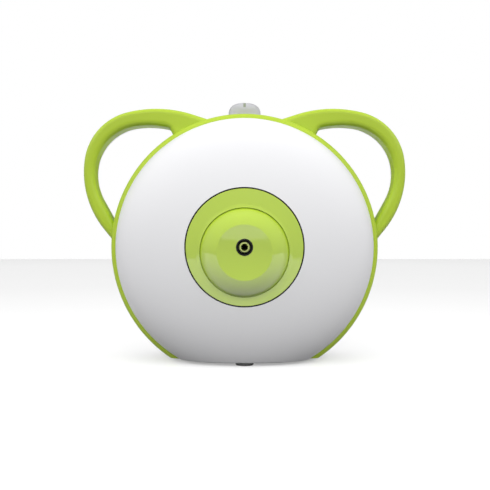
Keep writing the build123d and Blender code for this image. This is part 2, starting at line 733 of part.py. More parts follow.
# Mains inlet for a two-pole cord, with its two pins
with BuildPart() as mains_inlet:
    with BuildSketch(facing_front(BACK_Y, INLET_Z)):
        Rectangle(INLET_W, INLET_H)
    extrude(amount=BACK_Y - INLET_FRONT_Y)
    with BuildSketch(facing_front(BACK_Y - WALL, INLET_Z)):
        Rectangle(INLET_W + 5, INLET_H + 5)
    extrude(amount=2)
    with BuildSketch(facing_front(BACK_Y, INLET_Z)):
        SlotOverall(*INLET_SOCKET)
    extrude(amount=BACK_Y - INLET_FRONT_Y - 2, mode=Mode.SUBTRACT)
    with BuildSketch(facing_front(BACK_Y, INLET_Z)):
        with GridLocations(2 * INLET_PIN_X, 0, 2, 1):
            Circle(INLET_PIN_R)
    extrude(amount=BACK_Y - INLET_FRONT_Y, mode=Mode.SUBTRACT)
save(mains_inlet.part, "mains_inlet")

with BuildPart() as inlet_pins:
    with BuildSketch(facing_front(BACK_Y - 3, INLET_Z)):
        with GridLocations(2 * INLET_PIN_X, 0, 2, 1):
            Circle(INLET_PIN_R)
    extrude(amount=BACK_Y - 3 - INLET_FRONT_Y + 2)
    fillet(inlet_pins.edges().group_by(Axis.Y)[-1], 0.5)
save(inlet_pins.part, "inlet_pins")

# Plate that carries motor and pump, on four rubber mounts that button through it
with BuildPart() as chassis_plate:
    with BuildSketch(Plane.XY.offset(PLATE_Z - PLATE_THICK)):
        with Locations((0, 20)):
            RectangleRounded(108, 56, 6)
        with Locations(*MOUNTS):
            Circle(2.5, mode=Mode.SUBTRACT)
    extrude(amount=PLATE_THICK)
save(chassis_plate.part, "chassis_plate")

with BuildPart() as rubber_mounts:
    plate_bottom = PLATE_Z - PLATE_THICK
    for bottom, top, radius in (
        (BASE_Z + WALL, BASE_Z + WALL + 3, 5.0),
        (BASE_Z + WALL + 3, plate_bottom - 3, 3.6),
        (plate_bottom - 3, plate_bottom, 5.0),
        (plate_bottom, PLATE_Z, 2.4),
        (PLATE_Z, PLATE_Z + 2, 3.4),
    ):
        with BuildSketch(Plane.XY.offset(bottom)):
            with Locations(*MOUNTS):
                Circle(radius)
        extrude(amount=top - bottom)
save(rubber_mounts.part, "rubber_mounts")

# Motor cradle and the strap over the can
MOTOR_AXIS = Axis((0, PUMP_Y, CRANK_Z), (1, 0, 0))
CRADLE_TOP_Z = 36.0

with BuildPart() as motor_cradle:
    with BuildSketch(Plane.XY.offset(PLATE_Z)):
        with Locations((-19, PUMP_Y)):
            Rectangle(34, 44)
    extrude(amount=CRADLE_TOP_Z - PLATE_Z)
    with BuildSketch(facing_right(-60)):
        with Locations((PUMP_Y, CRANK_Z)):
            Circle(MOTOR_R)
        with Locations((PUMP_Y, PLATE_Z + 3)):
            Rectangle(26, 6)
    extrude(amount=60, mode=Mode.SUBTRACT)
save(motor_cradle.part, "motor_cradle")

with BuildPart() as motor_strap:
    with BuildSketch(facing_right(-24)):
        with Locations((PUMP_Y, CRANK_Z)):
            Circle(MOTOR_R + 1.5)
            Circle(MOTOR_R, mode=Mode.SUBTRACT)
        with Locations((PUMP_Y, CRADLE_TOP_Z - 20)):
            Rectangle(60, 40, mode=Mode.SUBTRACT)
    extrude(amount=10)
save(motor_strap.part, "motor_strap")


def turned(profile):
    """A piece turned about the motor's axis, from its section as (x, radius) points."""
    with BuildPart() as made:
        with BuildSketch(Plane(origin=(0, PUMP_Y, CRANK_Z), x_dir=(1, 0, 0), z_dir=(0, -1, 0))):
            with BuildLine():
                Polyline(*profile, close=True)
            make_face()
        revolve(axis=MOTOR_AXIS)
    return made.part


def round_about_motor(x, radii, length, hole=0):
    """A disc or ring about the motor's axis, starting at x."""
    return turned([(x, hole), (x, radii), (x + length, radii), (x + length, hole)])


save(
    turned(
        [
            (CAN_X, BEARING_R),
            (CAN_X, MOTOR_R),
            (BELL_X, MOTOR_R),
            (BELL_X, MOTOR_R - 2),
            (CAN_X + 2, MOTOR_R - 2),
            (CAN_X + 2, BEARING_R + 2.5),
            (CAN_X + 7, BEARING_R + 2.5),
            (CAN_X + 7, BEARING_R),
        ]
    ),
    "motor_can",
)

BELL_THICK = CASE_X - BELL_X
with BuildPart() as motor_end_bell:
    add(
        turned(
            [
                (BELL_X - 5, BEARING_R),
                (BELL_X - 5, BEARING_R + 2.5),
                (BELL_X, BEARING_R + 2.5),
                (BELL_X, MOTOR_R),
                (CASE_X, MOTOR_R),
                (CASE_X, BEARING_R),
            ]
        )
    )
    with BuildSketch(facing_right(CASE_X)):
        with Locations((PUMP_Y, CRANK_Z)):
            with PolarLocations(20, 4, start_angle=45):
                Circle(PILOT_R)
    extrude(amount=-BELL_THICK + 1, mode=Mode.SUBTRACT)
save(motor_end_bell.part, "motor_end_bell")

with BuildPart() as motor_bearings:
    for bearing_x in (CAN_X + 0.5, BELL_X - 4.5):
        add(round_about_motor(bearing_x, BEARING_R, 6, MOTOR_SHAFT_R + RUNNING))
save(motor_bearings.part, "motor_bearings")

with BuildPart() as field_magnets:
    with BuildSketch(facing_right(-36)):
        with Locations((PUMP_Y, CRANK_Z)):
            Circle(MOTOR_R - 2)
            Circle(MOTOR_R - 5, mode=Mode.SUBTRACT)
            Rectangle(12, 60, mode=Mode.SUBTRACT)
    extrude(amount=38)
save(field_magnets.part, "field_magnets")

save(round_about_motor(SHAFT_X[0], MOTOR_SHAFT_R, SHAFT_X[1] - SHAFT_X[0]), "motor_shaft")

with BuildPart() as armature:
    with BuildSketch(facing_right(-30)):
        with Locations((PUMP_Y, CRANK_Z)):
            Circle(19)
            Circle(MOTOR_SHAFT_R, mode=Mode.SUBTRACT)
            with PolarLocations(16.5, 10):
                SlotOverall(6, 2.4, mode=Mode.SUBTRACT)
    extrude(amount=26)
save(armature.part, "armature")

with BuildPart() as armature_windings:
    for winding_x in (-36, -4):
        add(round_about_motor(winding_x, 17, 6, MOTOR_SHAFT_R))
    fillet(armature_windings.edges().filter_by(GeomType.CIRCLE).sort_by(SortBy.RADIUS)[-4:], 2.4)
save(armature_windings.part, "armature_windings")

with BuildPart() as commutator:
    add(round_about_motor(2.5, 8, 7, MOTOR_SHAFT_R))
    with BuildSketch(facing_right(2.5)):
        with Locations((PUMP_Y, CRANK_Z)):
            with PolarLocations(8, 10):
                Rectangle(1.6, 0.5)
    extrude(amount=7, mode=Mode.SUBTRACT)
save(commutator.part, "commutator")

with BuildPart() as motor_brushes:
    with BuildSketch(facing_right(4)):
        with Locations((PUMP_Y, CRANK_Z)):
            with GridLocations(31, 0, 2, 1):
                Rectangle(14.8, 4)
    extrude(amount=4)
save(motor_brushes.part, "motor_brushes")

# Fan on the motor shaft's outer end
with BuildPart() as cooling_fan:
    add(round_about_motor(-62, 7, 8, MOTOR_SHAFT_R))
    add(round_about_motor(-55.5, 22, 1.5, 6))
    with BuildSketch(facing_right(-62)):
        with Locations((PUMP_Y, CRANK_Z)):
            with PolarLocations(14.2, 9):
                Rectangle(15.4, 1.4, rotation=24)
    extrude(amount=7)
save(cooling_fan.part, "cooling_fan")

# Crank: a hub on the shaft with a counterweight, and a pin CRANK_THROW above the motor's axis
with BuildPart() as crank:
    add(round_about_motor(24, 9, 7, MOTOR_SHAFT_R))
    with BuildSketch(facing_right(24)):
        with Locations((PUMP_Y, CRANK_Z)):
            Circle(16)
        with Locations((PUMP_Y, CRANK_Z + 16)):
            Rectangle(40, 32, mode=Mode.SUBTRACT)
        with Locations((PUMP_Y, CRANK_Z)):
            Circle(8.9, mode=Mode.SUBTRACT)
    extrude(amount=7)
    add(round_about_motor(SHAFT_X[1], 9, 1.5))
    with BuildSketch(facing_right(31.5)):
        with Locations((PUMP_Y, PIN_Z)):
            Circle(5)
    extrude(amount=12)
save(crank.part, "crank")

with BuildPart() as crank_bearing:
    with BuildSketch(facing_right(33.5)):
        with Locations((PUMP_Y, PIN_Z)):
            Circle(9.5)
            Circle(5 + RUNNING, mode=Mode.SUBTRACT)
    extrude(amount=9)
save(crank_bearing.part, "crank_bearing")

# Rod: from the crank's bearing up to the diaphragm, which a washer and screw clamp to it
with BuildPart() as connecting_rod:
    with BuildSketch(facing_right(33.5)):
        with Locations((PUMP_Y, PIN_Z)):
            Circle(13)
            Circle(9.5, mode=Mode.SUBTRACT)
    extrude(amount=9)
    with BuildSketch(facing_right(34.5)):
        with BuildLine():
            Polyline(
                (PUMP_Y - 6, PIN_Z + 11),
                (PUMP_Y - 4, CASE_TOP_Z - 3),
                (PUMP_Y + 4, CASE_TOP_Z - 3),
                (PUMP_Y + 6, PIN_Z + 11),
                close=True,
            )
        make_face()
    extrude(amount=7)
    with BuildSketch(Plane.XY.offset(CASE_TOP_Z - 3)):
        with Locations((PUMP_X, PUMP_Y)):
            Circle(CLAMP_R)
    extrude(amount=3)
    with BuildSketch(Plane.XY.offset(CASE_TOP_Z)):
        with Locations((PUMP_X, PUMP_Y)):
            Circle(PILOT_R)
    extrude(amount=-10, mode=Mode.SUBTRACT)
save(connecting_rod.part, "connecting_rod")

with BuildPart() as diaphragm:
    with BuildSketch(Plane.XY.offset(CASE_TOP_Z)):
        with Locations((PUMP_X, PUMP_Y)):
            Circle(HEAD_R)
            Circle(PILOT_R, mode=Mode.SUBTRACT)
            with PolarLocations(HEAD_SCREW_CIRCLE_R, 4, start_angle=45):
                Circle(PILOT_R, mode=Mode.SUBTRACT)
    extrude(amount=2)
    with BuildSketch(Plane.XY.offset(CASE_TOP_Z)):
        with Locations((PUMP_X, PUMP_Y)):
            Circle(14.6)
            Circle(11.4, mode=Mode.SUBTRACT)
    extrude(amount=-1.4)
    with BuildSketch(Plane.XY.offset(CASE_TOP_Z + 2)):
        with Locations((PUMP_X, PUMP_Y)):
            Circle(13.6)
            Circle(12.4, mode=Mode.SUBTRACT)
    extrude(amount=-2, mode=Mode.SUBTRACT)
save(diaphragm.part, "diaphragm")

with BuildPart() as clamp_washer:
    with BuildSketch(Plane.XY.offset(VALVE_PLATE_Z)):
        with Locations((PUMP_X, PUMP_Y)):
            Circle(CLAMP_R)
            Circle(PILOT_R, mode=Mode.SUBTRACT)
    extrude(amount=1.5)
save(clamp_washer.part, "clamp_washer")

with BuildPart() as clamp_screw:
    with BuildSketch(Plane.XY.offset(VALVE_PLATE_Z + 1.5)):
        with Locations((PUMP_X, PUMP_Y)):
            Circle(4)
    extrude(amount=2)
    with BuildSketch(Plane.XY.offset(VALVE_PLATE_Z + 3.5)):
        with Locations((PUMP_X, PUMP_Y)):
            RegularPolygon(1.8, 6)
    extrude(amount=-1.2, mode=Mode.SUBTRACT)
    with BuildSketch(Plane.XY.offset(VALVE_PLATE_Z + 1.5)):
        with Locations((PUMP_X, PUMP_Y)):
            Circle(PILOT_R)
    extrude(amount=-11)
save(clamp_screw.part, "clamp_screw")

# Crankcase, open below, with a round flange for the pump head
with BuildPart() as crankcase:
    with BuildSketch(Plane.XY.offset(PLATE_Z)):
        with Locations((CASE_X + CASE_LONG / 2, PUMP_Y)):
            Rectangle(CASE_LONG, 2 * CASE_HALF_Y)
            Rectangle(CASE_LONG - 2 * CASE_WALL, 2 * (CASE_HALF_Y - CASE_WALL), mode=Mode.SUBTRACT)
    extrude(amount=CASE_TOP_Z - PLATE_Z)
    with BuildSketch(Plane.XY.offset(CASE_TOP_Z - 7)):
        with Locations((PUMP_X, PUMP_Y)):
            Circle(HEAD_R)
        with Locations((CASE_X + CASE_LONG / 2, PUMP_Y)):
            Rectangle(CASE_LONG, 2 * CASE_HALF_Y)
        with Locations((PUMP_X, PUMP_Y)):
            Circle(CHAMBER_R, mode=Mode.SUBTRACT)
    extrude(amount=7)
    with BuildSketch(Plane.XY.offset(CASE_TOP_Z)):
        with Locations((PUMP_X, PUMP_Y)):
            with PolarLocations(HEAD_SCREW_CIRCLE_R, 4, start_angle=45):
                Circle(PILOT_R)
    extrude(amount=-6, mode=Mode.SUBTRACT)
    with BuildSketch(facing_right(CASE_X)):
        with Locations((PUMP_Y, CRANK_Z)):
            Circle(BEARING_R + 2)
            with PolarLocations(20, 4, start_angle=45):
                Circle(PILOT_R + 0.2)
    extrude(amount=CASE_WALL, mode=Mode.SUBTRACT)
save(crankcase.part, "crankcase")

with BuildPart() as motor_screws:
    with BuildSketch(facing_right(CASE_X + CASE_WALL)):
        with Locations((PUMP_Y, CRANK_Z)):
            with PolarLocations(20, 4, start_angle=45):
                Circle(2.6)
    extrude(amount=1.8)
    with BuildSketch(facing_right(CASE_X + CASE_WALL)):
        with Locations((PUMP_Y, CRANK_Z)):
            with PolarLocations(20, 4, start_angle=45):
                Circle(PILOT_R)
    extrude(amount=-5.8)
save(motor_screws.part, "motor_screws")

# Pump head: valve plate below, two chambers above, with upright barbs for the hoses
VALVE_CENTRES = ((PUMP_X - VALVE_X, PUMP_Y), (PUMP_X + VALVE_X, PUMP_Y))
with BuildPart() as valve_plate:
    with BuildSketch(Plane.XY.offset(VALVE_PLATE_Z)):
        with Locations((PUMP_X, PUMP_Y)):
            Circle(HEAD_R)
            with PolarLocations(HEAD_SCREW_CIRCLE_R, 4, start_angle=45):
                Circle(PILOT_R, mode=Mode.SUBTRACT)
    extrude(amount=HEAD_Z - VALVE_PLATE_Z)
    with BuildSketch(Plane.XY.offset(VALVE_PLATE_Z)):
        with Locations((PUMP_X, PUMP_Y)):
            Circle(CHAMBER_R)
    extrude(amount=7, mode=Mode.SUBTRACT)
    with BuildSketch(Plane.XY.offset(VALVE_PLATE_Z)):
        with Locations(*VALVE_CENTRES):
            Circle(2.5)
    extrude(amount=HEAD_Z - VALVE_PLATE_Z, mode=Mode.SUBTRACT)
save(valve_plate.part, "valve_plate")

with BuildPart() as valve_flaps:
    for flap_z, spot in ((VALVE_PLATE_Z + 6.2, VALVE_CENTRES[0]), (HEAD_Z, VALVE_CENTRES[1])):
        with BuildSketch(Plane.XY.offset(flap_z)):
            with Locations(spot):
                Circle(4.5)
        extrude(amount=0.8)
save(valve_flaps.part, "valve_flaps")

with BuildPart() as pump_head:
    with BuildSketch(Plane.XY.offset(HEAD_Z)):
        with Locations((PUMP_X, PUMP_Y)):
            Circle(HEAD_R)
            with PolarLocations(HEAD_SCREW_CIRCLE_R, 4, start_angle=45):
                Circle(PILOT_R, mode=Mode.SUBTRACT)
    extrude(amount=HEAD_TOP_Z - HEAD_Z)
    fillet(
        pump_head.edges().group_by(Axis.Z)[-1].filter_by(GeomType.CIRCLE).sort_by(SortBy.RADIUS)[-1], 2
    )
    with BuildSketch(Plane.XY.offset(HEAD_TOP_Z)):
        with Locations(*VALVE_CENTRES):
            Circle(BARB_R)
    extrude(amount=11)
    with BuildSketch(Plane.XY.offset(HEAD_Z)):
        with Locations(*VALVE_CENTRES):
            Circle(6)
    extrude(amount=HEAD_TOP_Z - HEAD_Z - 2.5, mode=Mode.SUBTRACT)
    with BuildSketch(Plane.XY.offset(HEAD_Z)):
        with Locations(*VALVE_CENTRES):
            Circle(BARB_BORE_R)
    extrude(amount=30, mode=Mode.SUBTRACT)
save(pump_head.part, "pump_head")

with BuildPart() as head_screws:
    with BuildSketch(Plane.XY.offset(HEAD_TOP_Z)):
        with Locations((PUMP_X, PUMP_Y)):
            with PolarLocations(HEAD_SCREW_CIRCLE_R, 4, start_angle=45):
                Circle(2.0)
                RegularPolygon(1.2, 6, mode=Mode.SUBTRACT)
    extrude(amount=2.4)
    with BuildSketch(Plane.XY.offset(HEAD_TOP_Z)):
        with Locations((PUMP_X, PUMP_Y)):
            with PolarLocations(HEAD_SCREW_CIRCLE_R, 4, start_angle=45):
                Circle(PILOT_R)
    extrude(amount=CASE_TOP_Z - 5 - HEAD_TOP_Z)
save(head_screws.part, "head_screws")

# In-line filter on the suction side: clear bowl, cap and element
with BuildPart() as filter_bowl:
    with BuildSketch(Plane.XY.offset(FILTER_Z[0])):
        with Locations(FILTER):
            Circle(FILTER_R)
    extrude(amount=FILTER_Z[1] - FILTER_Z[0] - 8)
    with BuildSketch(Plane.XY.offset(FILTER_Z[0] + 1.6)):
        with Locations(FILTER):
            Circle(FILTER_R - 1.6)
    extrude(amount=60, mode=Mode.SUBTRACT)
    with BuildSketch(Plane.XY.offset(FILTER_Z[0])):
        with Locations(FILTER):
            Circle(BARB_R)
    extrude(amount=-11)
    with BuildSketch(Plane.XY.offset(FILTER_Z[0] - 11)):
        with Locations(FILTER):
            Circle(BARB_BORE_R)
    extrude(amount=14, mode=Mode.SUBTRACT)
save(filter_bowl.part, "filter_bowl")

with BuildPart() as filter_cap:
    with BuildSketch(Plane.XY.offset(FILTER_Z[1] - 8)):
        with Locations(FILTER):
            Circle(FILTER_R)
    extrude(amount=8)
    with BuildSketch(Plane.XY.offset(FILTER_Z[1])):
        with Locations(FILTER):
            Circle(BARB_R)
    extrude(amount=11)
    with BuildSketch(Plane.XY.offset(FILTER_Z[1] - 8)):
        with Locations(FILTER):
            Circle(BARB_BORE_R)
    extrude(amount=30, mode=Mode.SUBTRACT)
save(filter_cap.part, "filter_cap")

with BuildPart() as filter_element:
    with BuildSketch(Plane.XY.offset(FILTER_Z[0] + 6)):
        with Locations(FILTER):
            Circle(FILTER_R - 3)
            Circle(4, mode=Mode.SUBTRACT)
    extrude(amount=FILTER_Z[1] - FILTER_Z[0] - 14)
save(filter_element.part, "filter_element")

# Muffler on the pressure side, with a lug to the crankcase and outlet holes below
with BuildPart() as muffler:
    with BuildSketch(Plane.XY.offset(MUFFLER_Z[0])):
        with Locations(MUFFLER):
            Circle(MUFFLER_R)
        with Locations((CASE_X + CASE_LONG + 5, MUFFLER[1])):
            Rectangle(10, 8)
    extrude(amount=MUFFLER_Z[1] - MUFFLER_Z[0])
    with BuildSketch(Plane.XY.offset(MUFFLER_Z[0] + 8)):
        with Locations((CASE_X + CASE_LONG, MUFFLER[1])):
            Rectangle(10, 20)
    extrude(amount=60, mode=Mode.SUBTRACT)
    with BuildSketch(Plane.XY.offset(MUFFLER_Z[0] + 2)):
        with Locations(MUFFLER):
            Circle(MUFFLER_R - 1.8)
    extrude(amount=MUFFLER_Z[1] - MUFFLER_Z[0] - 4, mode=Mode.SUBTRACT)
    with BuildSketch(Plane.XY.offset(MUFFLER_Z[1])):
        with Locations(MUFFLER):
            Circle(BARB_R)
    extrude(amount=11)
    with BuildSketch(Plane.XY.offset(MUFFLER_Z[1] - 3)):
        with Locations(MUFFLER):
            Circle(BARB_BORE_R)
    extrude(amount=20, mode=Mode.SUBTRACT)
    with BuildSketch(Plane.XY.offset(MUFFLER_Z[0])):
        with Locations(MUFFLER):
            with PolarLocations(6, 6):
                Circle(1.2)
    extrude(amount=3, mode=Mode.SUBTRACT)
save(muffler.part, "muffler")

# Inner hoses: port to filter, filter to pump, pump to muffler
port_hose = hose(
    [
        (0, PORT_BACK_Y - 11, AXIS_Z),
        (FILTER[0], FILTER[1], AXIS_Z),
        (FILTER[0], FILTER[1], FILTER_Z[0]),
    ],
    13.5,
)
save(port_hose, "port_hose")

suction_hose = hose(
    [
        (FILTER[0], FILTER[1], FILTER_Z[1]),
        (FILTER[0], FILTER[1], FILTER_Z[1] + 27),
        (VALVE_CENTRES[0][0], VALVE_CENTRES[0][1], FILTER_Z[1] + 27),
        (VALVE_CENTRES[0][0], VALVE_CENTRES[0][1], HEAD_TOP_Z),
    ],
    HOSE_BEND_R,
)
save(suction_hose, "suction_hose")

exhaust_hose = hose(
    [
        (VALVE_CENTRES[1][0], VALVE_CENTRES[1][1], HEAD_TOP_Z),
        (VALVE_CENTRES[1][0], VALVE_CENTRES[1][1], HEAD_TOP_Z + 32),
        (MUFFLER[0], MUFFLER[1], HEAD_TOP_Z + 32),
        (MUFFLER[0], MUFFLER[1], MUFFLER_Z[1]),
    ],
    HOSE_BEND_R,
)
save(exhaust_hose, "exhaust_hose")

# Control board with its components, screwed to posts on the rear shell
BOARD_FRONT_Y = BOARD_BACK_Y - BOARD_THICK
with BuildPart() as control_board:
    with BuildSketch(facing_front(BOARD_BACK_Y, 0)):
        with Locations((sum(BOARD_X) / 2, sum(BOARD_Z) / 2)):
            Rectangle(BOARD_X[1] - BOARD_X[0], BOARD_Z[1] - BOARD_Z[0])
        with Locations(*BOARD_POSTS):
            Circle(SMALL_SCREW_R, mode=Mode.SUBTRACT)
    extrude(amount=BOARD_THICK)
save(control_board.part, "control_board")

# Twelve small screws: cover to panel, panel to dome and bracket, and board to rear shell
SMALL_SCREW_SETS = (
    (facing_front(PANEL_BACK_Y), on_circle(SQUARE_ANGLES, PANEL_TAB_R), 1),
    (facing_front(BRACKET_BACK_Y, AXIS_Z - NOSE_DROP), on_circle(SQUARE_ANGLES, DOME_SCREW_R), 1),
    (facing_front(BOARD_FRONT_Y, 0), BOARD_POSTS, -1),
)
with BuildPart() as small_screws:
    for seat, points, way in SMALL_SCREW_SETS:
        with BuildSketch(seat):
            with Locations(*points):
                Circle(2.6)
                RegularPolygon(1.1, 6, mode=Mode.SUBTRACT)
        extrude(amount=-1.8 * way)
        with BuildSketch(seat):
            with Locations(*points):
                Circle(SMALL_SCREW_R)
        extrude(amount=SMALL_SCREW_LENGTH * way)
save(small_screws.part, "small_screws")

with BuildPart() as transformer:
    with BuildSketch(facing_front(BOARD_FRONT_Y, 0)):
        with Locations((-70, 126)):
            Rectangle(22, 20)
    extrude(amount=16)
    with BuildSketch(facing_front(BOARD_FRONT_Y - 4, 0)):
        with Locations((-70, 126)):
            Rectangle(22, 26)
    extrude(amount=8)
save(transformer.part, "transformer")

with BuildPart() as capacitor:
    with BuildSketch(facing_front(BOARD_FRONT_Y, 0)):
        with Locations((-50, 136)):
            Circle(5)
    extrude(amount=16)
    fillet(capacitor.edges().group_by(Axis.Y)[0], 0.8)
save(capacitor.part, "capacitor")

with BuildPart() as heat_sink:
    with BuildSketch(facing_front(BOARD_FRONT_Y, 0)):
        with Locations((-36, 130)):
            Rectangle(14, 16)
            with GridLocations(4, 0, 3, 1):
                with Locations((0, 1.5)):
                    Rectangle(2, 13.5, mode=Mode.SUBTRACT)
    extrude(amount=13)
save(heat_sink.part, "heat_sink")

# Wiring: mains inlet to board, board to motor, board to potentiometer
PIN_END_Y = INLET_FRONT_Y - 2
with BuildPart() as wiring:
    for side, run_z, drop_x in ((-1, 92, -34), (1, 97, -29.5)):
        pin_x = side * INLET_PIN_X
        run = [
            (pin_x, PIN_END_Y, INLET_Z),
            (pin_x, 40.5, INLET_Z),
            (pin_x, 40.5, run_z),
            (drop_x, 40.5, run_z),
            (drop_x, 40.5, 114),
            (drop_x, BOARD_FRONT_Y, 114),
        ]
        add(wire(run, 2.8, 1.0))
    for x, y, start_z, run_z, board_x, board_z in (
        (-8, 14, 77.05, 100, -46, 118),
        (-2, 20, 76.7, 106, -53, 124),
    ):
        run = [
            (x, y, start_z),
            (x, y, run_z),
            (board_x, y, run_z),
            (board_x, y, board_z),
            (board_x, BOARD_FRONT_Y, board_z),
        ]
        add(wire(run, 3, 1.0))
    run = [
        (0, KNOB_Y, POT_TOP_Z - 14),
        (0, KNOB_Y, 160),
        (-56, KNOB_Y, 160),
        (-56, KNOB_Y, 144),
        (-56, BOARD_FRONT_Y, 144),
    ]
    add(wire(run, 6, 1.8))
save(wiring.part, "wiring")
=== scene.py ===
"""Looks for a round tabletop suction unit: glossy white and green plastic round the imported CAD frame."""

import json
import math

import bmesh
import bpy
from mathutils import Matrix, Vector


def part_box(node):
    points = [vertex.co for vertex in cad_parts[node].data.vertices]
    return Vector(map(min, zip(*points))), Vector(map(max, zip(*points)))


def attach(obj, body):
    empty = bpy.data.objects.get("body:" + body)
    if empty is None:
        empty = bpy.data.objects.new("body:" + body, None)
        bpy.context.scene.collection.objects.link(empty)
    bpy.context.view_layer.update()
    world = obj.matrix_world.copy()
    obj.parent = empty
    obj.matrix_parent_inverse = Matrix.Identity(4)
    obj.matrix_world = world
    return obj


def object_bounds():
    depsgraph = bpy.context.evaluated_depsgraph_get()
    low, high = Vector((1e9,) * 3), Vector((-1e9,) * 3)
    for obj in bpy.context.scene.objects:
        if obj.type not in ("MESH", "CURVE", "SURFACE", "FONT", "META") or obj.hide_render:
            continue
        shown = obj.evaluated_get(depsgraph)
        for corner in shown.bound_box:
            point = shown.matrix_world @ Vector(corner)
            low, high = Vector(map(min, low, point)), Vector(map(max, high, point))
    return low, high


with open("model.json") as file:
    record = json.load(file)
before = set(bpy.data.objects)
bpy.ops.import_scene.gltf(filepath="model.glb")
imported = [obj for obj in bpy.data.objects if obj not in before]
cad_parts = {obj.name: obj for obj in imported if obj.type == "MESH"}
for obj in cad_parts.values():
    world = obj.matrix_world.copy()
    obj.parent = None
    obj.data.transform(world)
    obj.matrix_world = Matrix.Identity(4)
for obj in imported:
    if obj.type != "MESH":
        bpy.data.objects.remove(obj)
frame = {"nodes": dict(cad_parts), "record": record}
CAD_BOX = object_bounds()
NODES = frame["nodes"]


# ---- driving dimensions, in metres, read from the frame ----

RIM_FRONT_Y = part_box("handle_frame")[0].y
AXIS_Z = sum(corner.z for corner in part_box("panel_gasket")) / 2

# ---- camera ----

EYE_DISTANCE = 0.550  # from the rim's plane
EYE_ABOVE_AXIS = 0.0018
EYE_ASIDE = 0.0004
LENS_MM = 46.0
NEAREST_SEEN = 0.01
FARTHEST_SEEN = 20


def make_camera():
    """A level camera straight in front of the unit, a little above its axis."""
    data = bpy.data.cameras.new("camera")
    data.lens = LENS_MM
    data.clip_start = NEAREST_SEEN
    data.clip_end = FARTHEST_SEEN
    camera = bpy.data.objects.new("camera", data)
    camera.location = (EYE_ASIDE, RIM_FRONT_Y - EYE_DISTANCE, AXIS_Z + EYE_ABOVE_AXIS)
    camera.rotation_euler = (math.radians(90), 0, 0)
    bpy.context.scene.collection.objects.link(camera)
    bpy.context.scene.camera = camera


# ---- node trees ----

NOISE_LOW = 0.3  # nearly all of a noise's values lie between these
NOISE_HIGH = 0.7


class Tree:
    """A node tree, with short calls to add, join and set nodes."""

    def __init__(self, tree):
        self.tree = tree
        self.tree.nodes.clear()

    def add(self, kind, **settings):
        node = self.tree.nodes.new(kind)
        for key, value in settings.items():
            setattr(node, key, value)
        return node

    def feed(self, socket, value):
        """Joins another node's output to a socket, or sets the socket to a plain value."""
        if isinstance(value, bpy.types.NodeSocket):
            self.tree.links.new(value, socket)
        else:
            socket.default_value = value

    def between(self, value, low, high, start=NOISE_LOW, stop=NOISE_HIGH):
        """Maps a value from start..stop to low..high."""
        node = self.add("ShaderNodeMapRange")
        inputs = {"Value": value, "From Min": start, "From Max": stop, "To Min": low, "To Max": high}
        for key, given in inputs.items():
            self.feed(node.inputs[key], given)
        return node.outputs["Result"]

    def reckoned(self, operation, first, second):
        """The result of a Math node's operation on two values."""
        node = self.add("ShaderNodeMath", operation=operation)
        self.feed(node.inputs[0], first)
        self.feed(node.inputs[1], second)
        return node.outputs[0]

    def split(self, vector):
        """The X, Y and Z of a vector, as a node's outputs."""
        node = self.add("ShaderNodeSeparateXYZ")
        self.feed(node.inputs[0], vector)
        return node.outputs


class Look(Tree):
    """A material and its node tree, round one Principled shader."""

    def __init__(self, name):
        self.name = name
        self.material = bpy.data.materials.new(name)
        self.material.use_nodes = True
        super().__init__(self.material.node_tree)
        self.shader = self.add("ShaderNodeBsdfPrincipled")
        output = self.add("ShaderNodeOutputMaterial")
        self.feed(output.inputs["Surface"], self.shader.outputs["BSDF"])
        self.place = self.add("ShaderNodeTexCoord").outputs["Object"]

    def tune(self, **values):
        """Sets the shader's inputs, whose names have underscores for spaces, and returns the look."""
        for key, value in values.items():
            self.feed(self.shader.inputs[key.replace("_", " ")], value)
        return self

    def stretched(self, scale):
        """Object coordinates scaled by a different amount on each axis."""
        mapping = self.add("ShaderNodeMapping")
        self.feed(mapping.inputs["Scale"], scale)
        self.feed(mapping.inputs["Vector"], self.place)
        return mapping.outputs["Vector"]

    def noise(self, scale, detail=3.0, roughness=0.5, place=None):
        """Noise with that many features a metre, or a unit of the place it's given."""
        node = self.add("ShaderNodeTexNoise")
        inputs = {"Scale": scale, "Detail": detail, "Roughness": roughness, "Vector": place or self.place}
        for key, given in inputs.items():
            self.feed(node.inputs[key], given)
        return node.outputs["Fac"]

    def mixed(self, factor, first, second):
        """Mixes two colours, or a colour and another node's output, by a factor."""
        node = self.add("ShaderNodeMix", data_type="RGBA")
        for number, given in ((0, factor), (6, first), (7, second)):  # the colour inputs are 6 and 7
            self.feed(node.inputs[number], given)
        return node.outputs[2]

    def bump(self, height, strength, distance):
        """Adds a relief to the shader's normal, over any that it has already."""
        node = self.add("ShaderNodeBump")
        inputs = {"Height": height, "Strength": strength, "Distance": distance}
        for key, given in inputs.items():
            self.feed(node.inputs[key], given)
        normal = self.shader.inputs["Normal"]
        if normal.links:
            self.feed(node.inputs["Normal"], normal.links[0].from_socket)
        self.feed(normal, node.outputs["Normal"])


# ---- materials ----
# Each SCALE is in features a metre, each TONE a factor on the material's colour, each RELIEF the strength
# of a relief, and each DEPTH its height in metres.

FLOW_SCALE = 9  # slow changes of tone, where the plastic flowed in the mould
WIPED_SCALES = (28, 28, 90)  # changes of polish, where it's wiped and held
WIPED_DULLER = 0.07
SKIN_SCALE = 420
SKIN_DEPTH = 0.0002
SPECK_SCALE = 2600
SPECK_DEPTH = 0.00005
SPECKS_FROM = 0.62  # the value of the noise where a speck starts to show
SPECKS_FULL = 0.8
SPECK_SHOWS = 0.25  # how much of a speck's own tone shows
SPECK_TONE = 0.9
SPECK_RELIEF = 0.6  # the specks' strength of relief, against the skin's
LIGHT_SPREAD = 0.003  # how far light spreads under a coloured skin

